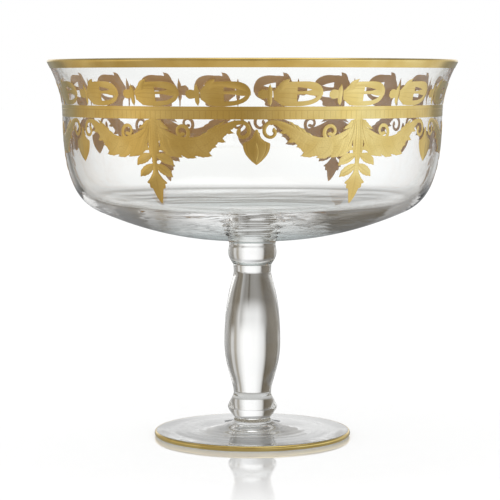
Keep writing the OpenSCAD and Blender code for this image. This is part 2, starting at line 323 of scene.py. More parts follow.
low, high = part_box("upper_knop")
upper_profile = solid(
    swell(upper_joint_r, low.z, high.x, low.z + upper_belly, 0.1, 0.55, 20),
    swell(high.x, low.z + upper_belly, collar_r, high.z - collar_h, 0.36, 0.31, 14)[1:],
    swell(collar_r, high.z - collar_h, bowl_joint_r, high.z, 0.33, 0.2, 8)[1:],
)
join_on("upper_knop", upper_profile)


# Bowl: one gather of clear glass, blown, opened out and turned up from a broad heel to a flared
# lip, and joined hot to the stem. The wall thins from the floor to the lip, whose edge is melted
# round.

bowl_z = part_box("bowl")[0].z
rim = Vector((120.4, 221.8)) * MM
waist = Vector((111.7, 192.6)) * MM
flare_root = 12.4 * MM
wall_run = 44.8 * MM
heel_r = 89.2 * MM
heel_h = 16.6 * MM
heel_slope = math.radians(23.5)
heel_turn = 12.8 * MM
lip_t = 2 * MM
# The wall's thickness in millimetres, at even steps from the stem to the heel, on to the waist
# and up the flare.
under_t = [6.6, 6.6, 6.6, 6.5, 6.2, 5.5, 4.65, 3.9]
side_t = [3.9, 3.1, 2.6, 2.35, 2.45]
flare_t = [2.45, 2.515, 2.597, 2.582, 2.55, 2.48, 2.365, 2.22]
under_steps = 28
side_steps = 54
flare_steps = 26
lip_steps = 4
heel_segments = 7
# The rings of the turning are faint inside one radius and full beyond the other, and end
# between two heights. The tint of thick glass fades between two radii.
calm_r = 35 * MM
streak_r = 75 * MM
streak_end = 136 * MM
smooth_from = 148 * MM
tint_full_r = 40 * MM
tint_end_r = 100 * MM
THICK = (0.58, 0.66, 0.655, 1)


def even(start, end, steps):
    """Numbers in equal steps from start to end."""
    return [start + (end - start) * step / steps for step in range(steps + 1)]


def through(values, steps):
    """Numbers or points on a smooth curve through values that are evenly spaced along it."""
    last = len(values) - 1
    found = []
    for place in even(0, last, steps):
        i = min(int(place), last - 1)
        t = place - i
        a, b, c, d = (values[max(0, min(last, k))] for k in (i - 1, i, i + 1, i + 2))
        found.append(b + 0.5 * t * (c - a + t * (2 * a - 5 * b + 4 * c - d + t * (3 * (b - c) + d - a))))
    return found


def beside(path, distances):
    """Points to the left of a path, each at its own distance."""
    found = []
    for i, (point, distance) in enumerate(zip(path, distances)):
        ahead = path[min(i + 1, len(path) - 1)] - path[max(i - 1, 0)]
        found.append(point + distance * Vector((-ahead.y, ahead.x)).normalized())
    return found


def blown_waves(place):
    """Broad faint waves up the wall."""
    return noise(place, 14, (1, 1, 0.6))


def turned_waves(place):
    """Uneven rings that the turning left round the underside, broken up into streaks."""
    height = place.node("ShaderNodeSeparateXYZ", {}, {"Vector": place}, "Z")
    fine = rings(place, spacing=10.5 * MM, clouds=22, wander=10) * noise(place, 26).between(0.3, 0.6)
    broad = rings(place, spacing=24 * MM, clouds=18, wander=8) * 1.6
    strength = 0.3 + from_axis(place).between(calm_r, streak_r) * 0.7
    below = 1 - height.between(streak_end, smooth_from)
    return blown_waves(place) + (fine + broad) * strength * below * 0.55


def thick_tint(place):
    """The cool tint of thick glass, deepest at the middle of the underside."""
    return from_axis(place).between(tint_full_r, tint_end_r).blend(THICK, CLEAR)


heel = Vector((heel_r, bowl_z + heel_h))
heel_way = Vector((math.cos(heel_slope), math.sin(heel_slope)))
underside_corner = heel - heel_way * (heel.y - bowl_z) / heel_way.y
bowl_outside = (
    curve([(bowl_joint_r, bowl_z), underside_corner, heel], under_steps)
    + curve([heel, heel + heel_way * heel_turn, waist - Vector((0, wall_run)), waist], side_steps)[1:]
    + curve([waist, waist + Vector((0, flare_root)), rim], flare_steps + lip_steps)[1:]
)
bowl_t = (
    through(under_t, under_steps)
    + through(side_t, side_steps)[1:]
    + through(flare_t, flare_steps)[1:]
    + even(flare_t[-1], lip_t / MM, lip_steps)[1:]
)
bowl_inside = beside(bowl_outside, [t * MM for t in bowl_t])
lip_way = (bowl_outside[-1] - bowl_outside[-2]).normalized()
lip_angle = math.degrees(math.atan2(lip_way.y, lip_way.x))
lip_centre = (bowl_outside[-1] + bowl_inside[-1]) / 2
lip_edge = arc(lip_centre, lip_t / 2, lip_angle - 90, lip_angle + 90, 16)
bowl_profile = (
    [Vector((0, bowl_z))]
    + bowl_outside
    + lip_edge[1:-1]
    + bowl_inside[::-1]
    + [Vector((0, bowl_z + under_t[0] * MM))]
)
bowl_finishes = [
    clear_glass("blown_glass", blown_waves, 0.1 * MM),
    melted_joint,
    clear_glass("turned_glass", turned_waves, 0.1 * MM, thick_tint),
]
underside = range(1, 1 + under_steps + heel_segments)
bowl_mesh = lathe("bowl_glass", bowl_profile, [[0], underside])
bowl = fit("bowl_glass", bowl_mesh, bowl_finishes, "clear_glass", "bowl")


# Gilding on the edges: liquid gold brushed round the lip and the foot's edge on a turntable,
# then fired and burnished. From behind, through the glass, the fired gold looks brown.

gilt_rise = 0.25 * MM
gilt_seat = 0.03 * MM
gilt_edge_loss = 0.4
engraving_depth = 0.05 * MM
engraving_tone = 0.28
rim_gilt_h = 4.6 * MM
rim_gilt_inside = 2 * MM
foot_gilt_from = -52
foot_gilt_to = 60
PALE_GOLD = (0.82, 0.635, 0.25, 1)
DEEP_GOLD = (0.72, 0.525, 0.172, 1)
ENGRAVED_GOLD = (0.40, 0.24, 0.07, 1)
GOLD_FROM_BEHIND = (0.67, 0.36, 0.11, 1)
EDGE_FROM_BEHIND = (0.86, 0.8, 0.68, 1)


def fired_gold(name, engraving, roughness, behind):
    """Fired gold with lines engraved where the engraving is 1, and a duller tone on the glass side."""
    made = bpy.data.materials.new(name)
    made.use_nodes = True
    made.node_tree.nodes.clear()
    start = Link(made.node_tree)
    place = start.node("ShaderNodeTexCoord", output="Object")
    leaf_place = start.node("ShaderNodeAttribute", {"attribute_name": "leaf"}, {}, "Vector")
    along = start.node("ShaderNodeSeparateXYZ", {}, {"Vector": leaf_place})
    across, face = along.other("Y"), along.other("Z")
    lines = engraving(place, along, across)
    cloud = noise(place, 70)
    burnish = noise(place, 300, (1, 1, 6))
    gold = cloud.between(0.3, 0.7).blend(DEEP_GOLD, PALE_GOLD)
    gold = (lines * engraving_tone).blend(gold, ENGRAVED_GOLD)
    normal = start.node("ShaderNodeBump", {}, {
        "Strength": 0.5,
        "Distance": engraving_depth,
        "Height": burnish * 0.25 - lines,
    })
    shade = start.node("ShaderNodeBsdfPrincipled", {}, {
        "Base Color": face.blend(behind, gold),
        "Metallic": 0.2 + face * 0.8,
        "Roughness": roughness + burnish * 0.1 + lines * 0.1 + (1 - face) * 0.2,
        "Normal": normal,
    })
    start.node("ShaderNodeOutputMaterial", {}, {"Surface": shade})
    return made


def brushed_round(place, along, across):
    """Hair lines that the brush left round a gilded edge."""
    hairs = noise(place, 40, (0.2, 0.2, 40))
    return hairs.between(0.62, 0.72) * 0.35


def gilt_ring(name, path, finish, *nodes):
    """Gold over a stretch of the glass profile, round the whole turn, thinner towards its edges."""
    share = even(-1, 1, len(path) - 1)
    face = beside(path, [-gilt_rise * (1 - gilt_edge_loss * s ** 6) for s in share])
    seat = beside(path, [gilt_seat] * len(path))
    tags = [(s, 1) for s in share] + [(s, 0) for s in share[::-1]]
    mesh = lathe(name, face + seat[::-1], (), True, tags)
    return fit(name, mesh, [finish], "gilding", *nodes)


edge_gold = fired_gold("brushed_gold", brushed_round, 0.1, EDGE_FROM_BEHIND)

foot_gilt_path = arc(foot_edge, foot_edge_r, foot_gilt_from, foot_gilt_to, 18)
gilt_ring("foot_gilding_line", foot_gilt_path, edge_gold, "foot_gilding")

rim_outside = [point for point in bowl_outside if (rim - point).dot(lip_way) < rim_gilt_h]
rim_inside = [point for point in bowl_inside if (rim - point).dot(lip_way) < rim_gilt_inside]
gilt_ring("rim_gilding_line", rim_outside + lip_edge[1:-1] + rim_inside[::-1], edge_gold, "rim_gilding")


# Frieze band: a gold band round the waist, rolled with a line and a row of small square dentils
# below it before firing.

dentils = 216
line_at = 0.4
band_low, band_high = (corner.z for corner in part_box("frieze_band"))


def strokes(turns, full, gone):
    """One stroke to each turn: 1 up to full from its middle, and 0 beyond gone."""
    off = turns.maths("FRACT", turns) - 0.5
    return 1 - off.maths("ABSOLUTE", off).between(full, gone)


def dentil_lines(place, along, across):
    """A line round the band, with upright strokes below it."""
    x = place.node("ShaderNodeSeparateXYZ", {}, {"Vector": place})
    angle = x.maths("ARCTAN2", x, x.other("Y"))
    upright = strokes(angle * (dentils / (2 * math.pi)), 0.05, 0.12)
    below = 1 - across.between(0.3, 0.36)
    off_line = across - line_at
    line = 1 - off_line.maths("ABSOLUTE", off_line).between(0.02, 0.08)
    return line.maths("MAXIMUM", line, upright * below * 0.6)


def wall_at(height):
    """The point of the bowl's outside at a height."""
    for a, b in zip(bowl_outside, bowl_outside[1:]):
        if a.y <= height <= b.y:
            return a.lerp(b, (height - a.y) / (b.y - a.y))


band_path = [wall_at(height) for height in even(band_low, band_high, 8)]
band_gold = fired_gold("rolled_gold", dentil_lines, 0.08, GOLD_FROM_BEHIND)
gilt_ring("frieze_band_gold", band_path, band_gold, "frieze_band")


# Swags: garlands of acanthus leaves between the leaf drops and the pendants, each ending in a
# volute. They are printed in gold, fired, and engraved with veins.

# The drawings of the leaves are flat and in millimetres.
leaf_edge = 0.12
leaf_seat = gilt_seat / MM
leaf_least = 0.05
leaf_crease = math.radians(40)
tooth_run = 2.4
swag_count = 6


def volute(centre, start_r, end_r, start, end, steps):
    """Spiral from one radius to another, closing in by the same share at each degree."""
    found = []
    for angle, share in zip(even(math.radians(start), math.radians(end), steps), even(0, 1, steps)):
        radius = start_r * (end_r / start_r) ** share
        found.append(Vector(centre) + radius * Vector((math.cos(angle), math.sin(angle))))
    return found


def widths(values, steps):
    """Half-widths of a leaf, eased through values that are evenly spaced along it."""
    return [max(leaf_least, value) for value in through(values, steps)]


def leaf(work, path, left, right, rise, across=6, teeth=0):
    """A closed domed leaf along a path, drawn flat in millimetres, with teeth so deep along its edges.

    Its tag holds the distance along it, the share across it, and 1 on its face or 0 below.
    """
    tag = work.verts.layers.float_vector["leaf"]
    shares = even(-1, 1, across)
    rows = []
    along = 0
    for i, point in enumerate(path):
        ahead = path[min(i + 1, len(path) - 1)] - path[max(i - 1, 0)]
        side = Vector((-ahead.y, ahead.x)).normalized()
        along += (point - path[i - 1]).length if i else 0
        notch = teeth * (1 - along / tooth_run % 1)
        halves = [max(leaf_least, half - min(notch, half / 4)) for half in (right[i], left[i])]
        flat = [point + side * s * halves[s > 0] for s in shares]
        domed = [leaf_edge + (rise - leaf_edge) * (1 - s * s) for s in shares]
        top = [work.verts.new((p.x * MM, p.y * MM, z * MM)) for p, z in zip(flat, domed)]
        below = [work.verts.new((p.x * MM, p.y * MM, -leaf_seat * MM)) for p in flat]
        for vert, s in zip(top, shares):
            vert[tag] = (along, s, 1)
        for vert, s in zip(below, shares):
            vert[tag] = (along, s, 0)
        rows.append((top, below))
    for (top, below), (next_top, next_below) in zip(rows, rows[1:]):
        for j in range(across):
            work.faces.new((top[j], next_top[j], next_top[j + 1], top[j + 1]))
            work.faces.new((below[j], below[j + 1], next_below[j + 1], next_below[j]))
        work.faces.new((top[0], below[0], next_below[0], next_top[0]))
        work.faces.new((top[-1], next_top[-1], next_below[-1], below[-1]))
    for j in range(across):
        top, below = rows[0]
        work.faces.new((top[j], top[j + 1], below[j + 1], below[j]))
        top, below = rows[-1]
        work.faces.new((top[j], below[j], below[j + 1], top[j + 1]))


def simple_leaf(work, spine, values, rise, teeth=0, steps=24):
    """A leaf along a curve, as wide to its left as to its right."""
    half = widths(values, steps)
    leaf(work, curve(spine, steps), half, half, rise, 6, teeth)


def drawing(name, draw):
    """A flat mesh of leaves, as draw makes them."""
    work = bmesh.new()
    work.verts.layers.float_vector.new("leaf")
    draw(work)
    for face in work.faces:
        face.smooth = True
    work.normal_update()
    for edge in work.edges:
        edge.smooth = edge.calc_face_angle(0) < leaf_crease
    mesh = bpy.data.meshes.new(name)
    work.to_mesh(mesh)
    work.free()
    return mesh


# The tree that lays a flat drawing on the bowl's wall and repeats it round the bowl.
wrap = bpy.data.node_groups.new("lay_round_bowl", "GeometryNodeTree")
wrap_inputs = {
    name: wrap.interface.new_socket(name, in_out="INPUT", socket_type=kind)
    for name, kind in (
        ("Drawing", "NodeSocketGeometry"),
        ("Wall", "NodeSocketObject"),
        ("Count", "NodeSocketInt"),
        ("First Turn", "NodeSocketFloat"),
        ("Height", "NodeSocketFloat"),
        ("Waist Radius", "NodeSocketFloat"),
        ("Gold", "NodeSocketMaterial"),
    )
}
wrap.interface.new_socket("Gilding", in_out="OUTPUT", socket_type="NodeSocketGeometry")
given = Link(wrap).node("NodeGroupInput", output="Drawing")
count = given.other("Count")
motif = given.node("GeometryNodeGeometryToInstance", {}, {0: given})
copies = given.node("GeometryNodeDuplicateElements", {"domain": "INSTANCE"}, {
    "Geometry": motif,
    "Amount": count,
})
number = copies.other("Duplicate Index")
laid = given.node("GeometryNodeRealizeInstances", {}, {"Geometry": copies})
spot = given.node("ShaderNodeSeparateXYZ", {}, {0: given.node("GeometryNodeInputPosition")})
angle = spot / given.other("Waist Radius") + given.other("First Turn") + number * (2 * math.pi) / count
out_x, out_y = angle.maths("SINE", angle), -1 * angle.maths("COSINE", angle)
outward = given.node("ShaderNodeCombineXYZ", {}, {"X": out_x, "Y": out_y})
level = given.node("ShaderNodeCombineXYZ", {}, {"Z": spot.other("Y") + given.other("Height")})
afar = given.node("ShaderNodeVectorMath", {"operation": "ADD"}, {0: outward, 1: level})
inward = given.node("ShaderNodeVectorMath", {"operation": "SCALE"}, {0: outward, "Scale": -1.0})
wall = given.node("GeometryNodeObjectInfo", {}, {"Object": given.other("Wall")}, "Geometry")
on_wall = given.node("GeometryNodeRaycast", {}, {
    "Target Geometry": wall,
    "Source Position": afar,
    "Ray Direction": inward,
    "Ray Length": 2.0,
}, "Hit Position")
raised = given.node("ShaderNodeVectorMath", {"operation": "SCALE"}, {0: outward, "Scale": spot.other("Z")})
resting = given.node("ShaderNodeVectorMath", {"operation": "ADD"}, {0: on_wall, 1: raised})
placed = given.node("GeometryNodeSetPosition", {}, {"Geometry": laid, "Position": resting})
gilded = given.node("GeometryNodeSetMaterial", {}, {"Geometry": placed, "Material": given.other("Gold")})
given.node("NodeGroupOutput", {}, {"Gilding": gilded})


def lay_round(name, mesh, total, first_turn, height, finish, *nodes):
    """Repeats a flat drawing round the wall of the bowl as one piece of gilding."""
    flat = bpy.data.objects.new(name + "_flat", mesh)
    bpy.context.scene.collection.objects.link(flat)
    laying = flat.modifiers.new("lay_round_bowl", "NODES")
    laying.node_group = wrap
    for socket, value in (
        ("Wall", bowl),
        ("Count", total),
        ("First Turn", first_turn),
        ("Height", height),
        ("Waist Radius", waist.x),
        ("Gold", finish),
    ):
        laying[wrap_inputs[socket].identifier] = value
    depsgraph = bpy.context.evaluated_depsgraph_get()
    wrapped = bpy.data.meshes.new_from_object(flat.evaluated_get(depsgraph))
    bpy.data.objects.remove(flat)
    return fit(name, wrapped, [], "gilding", *nodes)


def numbered(name, total):
    """The names of the CAD nodes of one kind."""
    return [f"{name}_{i:02d}" for i in range(1, total + 1)]


def leaf_veins(place, along, across):
    """A vein along the middle of each leaf and finer ones that slant from it to the edge."""
    reach = across.maths("ABSOLUTE", across)
    middle = (1 - reach.between(0.03, 0.1)) * 0.6
    slanting = strokes(along * 0.62 - reach * 0.9, 0.06, 0.16) * 0.4
    edge = reach.between(0.8, 0.84) * (1 - reach.between(0.88, 0.92)) * 0.5
    return middle.maths("MAXIMUM", middle, slanting.maths("MAXIMUM", slanting, edge))


# Middle of the garland and its width above and below that, from the volute to the leaf drop.
swag_middle = [
    (10, -1.7), (13, -3.6), (16, -5.2), (19, -7.4), (22.3, -9.6), (25.6, -12.4),
    (30, -14.8), (35, -15.3), (40, -15.1), (45, -14.6), (49.4, -13.6), (53.6, -12),
]
swag_above = [0.9, 2.1, 3.1, 3.9, 4.4, 4.9, 5.1, 4.9, 4.8, 4.8, 4.4, 3.6]
swag_below = [0.9, 1.5, 2, 2.7, 3.1, 4, 5, 4.8, 4.7, 4.7, 5, 5.2]
# Root and tip of each leaf on the garland, and half its width.
swag_leaves = [
    ((18, -4.2), (11.8, -7.4), 1.7),
    ((23, -7.4), (16.4, -12.2), 2.2),
    ((27, -9.6), (21.4, -15), 2),
    ((34, -11.6), (24, -19.8), 3.9),
    ((42, -12), (33, -20.9), 3.6),
    ((48.5, -11), (41, -20.7), 3.2),
    ((52.6, -9.4), (46, -20.4), 2.8),
    ((21.4, -5.8), (16.6, -0.9), 0.9),
    ((24.4, -7.8), (19.8, -2.5), 1),
    ((27.6, -9.8), (22.8, -4.2), 1),
    ((31, -11.8), (26.6, -6.7), 0.9),
]
swag_volute = (8.0, -6.8)
swag_eye = (41.6, -6.6)
swag_steps = 110
curl_steps = 44
eye_steps = 40
rib_steps = 48
bulb_half = 1.45


def draw_swag(work):
    """One garland to the right of its pendant, with the volute that starts it and the eye above it."""
    middle = through([Vector(point) for point in swag_middle], swag_steps)
    leaf(work, middle, widths(swag_above, swag_steps), widths(swag_below, swag_steps), 0.16, 6, 0.5)
    for rank, (root, tip, half) in enumerate(swag_leaves):
        turn = (root[0] * 0.72 + tip[0] * 0.28, root[1] * 0.22 + tip[1] * 0.78)
        outline = [0.5 * half, 0.95 * half, half, 0.6 * half, 0.05]
        simple_leaf(work, [root, turn, tip], outline, 0.19 + 0.005 * rank, 0.5)
    bulb = [bulb_half * math.sin(math.radians(min(120, 26 * i + 14))) for i in range(5)]
    curl = volute(swag_volute, 5.2, 1.4, 105, 430, curl_steps)[::-1]
    curl_half = bulb + widths([1.1, 0.85, 1, 1.1], curl_steps - len(bulb))
    leaving = curl[-1]
    rib_turns = [leaving + Vector((7.4, 1.5)), (23, -6), (31, -16.5), (43, -12.5), (53.5, -6)]
    rib = curve([leaving, *rib_turns], rib_steps)
    rib_half = curl_half + widths([1.1, 1.5, 1.7, 1.6, 1.7, 1.5], rib_steps)[1:]
    leaf(work, curl + rib[1:], rib_half, rib_half, 0.25, 4)
    eye = volute(swag_eye, 4.9, 1.3, 238, -165, eye_steps)[::-1]
    eye_half = bulb + widths([1.0, 0.85, 1.0, 1.15], eye_steps + 1 - len(bulb))[1:]
    leaf(work, eye, eye_half, eye_half, 0.23, 4)


def draw_swag_pair(work):
    """The garland and its mirror image on the other side of the pendant."""
    draw_swag(work)
    mirrored = bmesh.ops.duplicate(work, geom=work.verts[:] + work.edges[:] + work.faces[:])["geom"]
    verts = [item for item in mirrored if isinstance(item, bmesh.types.BMVert)]
    bmesh.ops.scale(work, vec=(-1, 1, 1), verts=verts)
    faces = [item for item in mirrored if isinstance(item, bmesh.types.BMFace)]
    bmesh.ops.reverse_faces(work, faces=faces)


leaf_gold = fired_gold("engraved_gold", leaf_veins, 0.09, GOLD_FROM_BEHIND)
swag_nodes = numbered("swag_right", swag_count) + numbered("swag_left", swag_count)
lay_round("swags_gold", drawing("swags", draw_swag_pair), swag_count, 0, band_low, leaf_gold, *swag_nodes)


# Pendants: small gold shields that hang between two volutes, with an engraved border and a
# raised lens down the middle. They are printed and fired together with the swags.

pendant_count = 6


def shield_lines(place, along, across):
    """A line inside the edge of the shield and one down its middle."""
    reach = across.maths("ABSOLUTE", across)
    border = reach.between(0.66, 0.7) * (1 - reach.between(0.76, 0.8))
    return border.maths("MAXIMUM", border, (1 - reach.between(0.02, 0.07)) * 0.6)


def draw_pendant(work):
    """A shield on a short neck, from its top down to its tip."""
    heights = [5.4, 7, 8.6, 10, 11.4, 12.3, 12.7, 13.2, 15, 17, 19, 21, 22.6, 23.8, 24.5]
    halves = [0.6, 1.2, 1.9, 2.6, 4.2, 6.2, 7.2, 7.4, 7.3, 6.8, 5.8, 4.2, 2.6, 1.1, 0.08]
    leaf(work, [Vector((0, -h)) for h in heights], halves, halves, 0.25, 10)
    simple_leaf(work, [(0, -12.5), (0, -23)], [0.1, 1.3, 1.9, 1.2, 0.1], 0.32)


shield_gold = fired_gold("bordered_gold", shield_lines, 0.09, GOLD_FROM_BEHIND)
lay_round(
    "pendants_gold", drawing("pendants", draw_pendant), pendant_count, 0, band_low, shield_gold,
    *numbered("pendant", pendant_count),
)


# Leaf drops: a fluted trunk below the band, from which a skirt of leaves spreads to the swags,
# two lobes hang on each side, and a toothed end leaf hangs from a narrow neck. They are gold,
# printed, fired and engraved as the swags are.

drop_count = 6


def draw_drop(work):
    """The leaves and flutes on both sides, then the trunk and the end leaf from its neck to its tip."""
    upper_lobe = [0.9, 2.1, 2.8, 2.7, 2, 0.4]
    lower_lobe = [0.8, 2.2, 2.7, 2.5, 1.8, 0.3]
    for side in (1, -1):
        for spine, half, rise, teeth in (
            ([(2.2, -1), (5, -3.4), (10.3, -5.8)], [1.5, 1.9, 1.5, 0.9, 0.05], 0.2, 0.4),
            ([(2.8, -4), (5, -6), (8.4, -7.6)], [1.3, 1.5, 1.2, 0.7, 0.05], 0.21, 0.4),
            ([(3, -1.5), (4, -8), (6.8, -12.5), (8.6, -18.8)], [1.4, 2.1, 2.7, 2.7, 1], 0.19, 0.5),
            ([(1.5, -19.5), (5, -20.8), (9.5, -21.6), (11.7, -25.3)], upper_lobe, 0.21, 0.3),
            ([(1, -24.5), (4.5, -27.8), (8.2, -28.6), (10.5, -31.5)], lower_lobe, 0.22, 0.3),
            ([(1.2, -0.4), (1.6, -10), (2, -18)], [0.25, 0.3, 0.3, 0.05], 0.31, 0),
            ([(2.3, -0.4), (2.6, -8), (6.6, -15)], [0.25, 0.35, 0.35, 0.05], 0.29, 0),
            ([(3.2, -0.6), (3.6, -6), (10, -11)], [0.25, 0.35, 0.35, 0.05], 0.27, 0),
            ([(1.5, -20), (5, -21.6), (10, -23.8)], [0.2, 0.35, 0.3, 0.05], 0.29, 0),
            ([(1, -25), (4.5, -28), (9, -30)], [0.2, 0.35, 0.3, 0.05], 0.3, 0),
        ):
            simple_leaf(work, [(side * x, y) for x, y in spine], half, rise, teeth)
    trunk = [2.6, 2.8, 3.1, 3.3, 3.3, 3.1, 1.5, 1.5, 1.8]
    simple_leaf(work, [(0, 0), (0, -29)], trunk, 0.24)
    heights = [
        27, 29.5, 31, 32.5, 33.8, 34.6, 35.2, 35.5, 36.4,
        37.4, 37.9, 38.1, 39.5, 41, 43, 45, 46, 46.4,
    ]
    halves = [1.2, 2.1, 3.2, 4.3, 5.8, 6.6, 6.3, 5.1, 5.2, 5.1, 4.7, 3.5, 3.1, 2.7, 2, 1.1, 0.5, 0.1]
    leaf(work, [Vector((0, -h)) for h in heights], halves, halves, 0.25, 8)


drop_turn = math.pi / drop_count
lay_round(
    "leaf_drops_gold", drawing("leaf_drops", draw_drop), drop_count, drop_turn, band_low, leaf_gold,
    *numbered("leaf_drop", drop_count),
)


# Frieze scrolls: curled leaves that stand on the band, three to each pendant, each with two
# slits, an upright cross leaf before it and a bud before that. They are gold, printed, fired
# and engraved with long veins.

scroll_count = 18
scroll_turn = math.radians(11.3)


def scroll_veins(place, along, across):
    """Veins that run the length of each leaf and draw together towards its tip."""
    return strokes(across * 2.6 + along * 0.04, 0.05, 0.13) * 0.5


def draw_scroll(work):
    """The curled leaf in overlapping strokes, then its tongue, tip, cross leaf and bud."""
    for spine, half, rise in (
        ([(-13.2, 6), (-9, 6.4), (-5, 6.8), (-0.4, 6.8)], [2.4, 5, 6.2, 6.6, 6.6], 0.18),
        ([(-7, 11.6), (4, 12.4), (13.5, 11.6), (12.6, 6)], [1.4, 1.5, 1.9, 2.1, 1.6, 1.2], 0.22),
        ([(-9, 1.8), (2, 1), (11, 1.2), (12.6, 6.8)], [1.2, 1.3, 1.3, 1.2, 1.2, 1.1], 0.21),
        ([(-3, 7.3), (4, 7.4), (9, 7.6), (12.6, 7.2)], [1, 0.8, 0.95, 1.5, 1.7, 1], 0.2),
        ([(-9, 9), (-8, 12.4), (-4.6, 14.8)], [1.6, 2.2, 1.5, 0.05], 0.24),
        ([(-14.7, 0.2), (-15.4, 5), (-15, 12.2)], [0.05, 1.1, 1.3, 1.5, 1.2, 0.05], 0.25),
        ([(-14.6, 6.6), (-21.3, 6.6)], [1, 1.9, 2.3, 2.5, 2.3, 1.2], 0.2),
    ):
        simple_leaf(work, spine, half, rise)


scroll_gold = fired_gold("scrolled_gold", scroll_veins, 0.09, GOLD_FROM_BEHIND)
scrolls = drawing("frieze_scrolls", draw_scroll)
lay_round(
    "frieze_scrolls_gold", scrolls, scroll_count, scroll_turn, band_high, scroll_gold,
    *numbered("frieze_scroll", scroll_count),
)


# Stage: a pale glossy table top in a white studio, with grey walls to the sides that draw the
# edges of the glass, and a broad soft lamp overhead. Where the gold and the glass see the table,
# shade and reflections are painted on it as a glow.

green_loss = 0.4


def tones(*marks):
    """Stops of a ramp round the object, each from its bearing, its brightness and its warmth.

    The bearing is in degrees from straight behind the object, below 0 on its left. The warmth is
    the share of blue that is left out, with a smaller share of green.
    """
    return [
        (0.5 + degrees / 360, (level, level * (1 - green_loss * warm), level * (1 - warm)))
        for degrees, level, warm in marks
    ]


# Dark and light panels round the studio: what the glass lets through from the walls at eye level
# and above it, from the table and from its near part, then what the gold mirrors.
walls_behind_glass = tones(
    (-180, 0.7, 0.1), (-104, 0.62, 0.05), (-91, 1.0, 0.02), (-79, 0.4, 0.05), (-57, 0.46, 0.06),
    (-53, 0.14, 0.4), (-38, 0.149, 0.42), (-23, 0.13, 0.42), (-20, 0.09, 0.4), (-18, 0.4, 0.1),
    (-15, 0.72, 0.02), (-8, 0.93, 0), (-4, 1.02, 0), (12, 1.08, 0), (18, 0.92, 0.02),
    (20, 0.78, 0.02), (24.5, 0.62, 0.04), (26.5, 0.4, 0.2), (30, 0.34, 0.25), (32, 0.56, 0.05),
    (38, 0.6, 0.03), (40.5, 0.3, 0.2), (44, 0.23, 0.15), (60, 0.28, 0.02), (64, 0.44, 0.04),
    (79, 0.42, 0.04), (84, 1.0, 0.02), (110, 1.4, 0.03), (150, 1.4, 0.03), (180, 0.9, 0.08),
)
walls_above_glass = tones(
    (-180, 0.7, 0.1), (-104, 0.6, 0.05), (-91, 0.8, 0.02), (-79, 0.35, 0.05), (-60, 0.3, 0.08),
    (-48, 0.16, 0.1), (-21, 0.2, 0.1), (-14, 0.36, 0.06), (-8, 0.44, 0.02), (-3, 0.54, 0),
    (4, 0.66, -0.02), (10, 0.72, -0.02), (19, 0.76, 0), (24, 0.5, 0.04), (30, 0.4, 0.06),
    (36, 0.45, 0.04), (42, 0.24, 0.08), (60, 0.25, 0.06), (79, 0.4, 0.04), (90, 0.9, 0.02),
    (150, 1.2, 0.03), (180, 0.9, 0.08),
)
table_behind_glass = tones(
    (-180, 0.7, 0.1), (-102, 0.6, 0.1), (-96, 0.95, 0.02), (-84, 0.95, 0.02), (-79, 0.38, 0.1),
    (-57, 0.186, 0.32), (-52, 0.14, 0.4), (-40, 0.149, 0.4), (-33, 0.167, 0.4), (-25, 0.14, 0.4),
    (-22, 0.167, 0.32), (-19, 0.3, 0.1), (-14, 0.5, 0.04), (-10, 0.7, 0.02), (-6, 0.84, 0),
    (9, 0.84, 0), (14, 0.7, 0.02), (18, 0.46, 0.05), (20, 0.5, 0.04), (23, 0.66, 0.03),
    (25, 0.48, 0.06), (28, 0.3, 0.15), (35, 0.167, 0.37), (42, 0.13, 0.37), (48, 0.2, 0.12),
    (55, 0.36, 0.05), (80, 0.4, 0.05), (86, 0.95, 0.03), (110, 1.4, 0.03), (150, 1.4, 0.03),
    (180, 0.9, 0.08),
)
shade_behind_glass = tones(
    (-180, 0.7, 0.1), (-96, 0.9, 0.04), (-84, 0.9, 0.04), (-78, 0.28, 0.1), (-58, 0.28, 0.1),
    (-47, 0.158, 0.32), (-40, 0.13, 0.4), (-28, 0.112, 0.42), (-20, 0.102, 0.42), (-17, 0.153, 0.34),
    (-14, 0.19, 0.18), (-9, 0.25, 0.12), (-3, 0.28, 0.1), (3, 0.26, 0.1), (5.5, 0.2, 0.15),
    (7, 0.084, 0.37), (8.5, 0.2, 0.15), (11, 0.25, 0.12), (14, 0.22, 0.12), (18, 0.32, 0.06),
    (21, 0.42, 0.03), (23.5, 0.186, 0.32), (28, 0.149, 0.4), (34, 0.186, 0.32), (38, 0.121, 0.37),
    (42, 0.13, 0.32), (47, 0.36, 0.08), (80, 0.4, 0.05), (86, 0.9, 0.04), (150, 1.2, 0.03),
    (180, 0.9, 0.08),
)
walls_before_gold = tones(
    (-180, 0.4, 0.36), (-168, 0.47, 0.36), (-157, 0.5, 0.36), (-145, 0.5, 0.34), (-133, 0.5, 0.32),
    (-121, 0.67, 0.28), (-108, 0.82, 0.28), (-94, 0.7, 0.28), (-78, 0.64, 0.28), (-58, 0.5, 0.25),
    (-35, 0.5, 0.15), (-18, 1.02, 0), (18, 1.02, 0), (35, 0.65, 0.1), (62, 0.76, 0.02),
    (81, 0.92, -0.1), (97, 0.98, -0.15), (111, 0.96, -0.2), (124, 1.15, -0.2), (136, 0.88, -0.1),
    (148, 0.85, 0), (159, 0.76, 0.1), (170, 0.55, 0.25), (180, 0.4, 0.36),
)
# The table as the gold sees it, painted on the table top as a glow: painted light and shade.
table_before_gold = tones(
    (-180, 0.66, 0.3), (-155, 0.62, 0.3), (-131, 0.58, 0.3), (-121, 0.5, 0.3), (-90, 0.5, 0.3),
    (-66, 0.42, 0.2), (-46, 0.15, 0), (0, 0.2, -0.05), (46, 0.14, 0), (58, 0.4, 0), (72, 0.8, 0),
    (88, 0.88, 0), (124, 0.9, 0.02), (133, 0.86, 0.06), (159, 0.75, 0.2), (180, 0.66, 0.3),
)
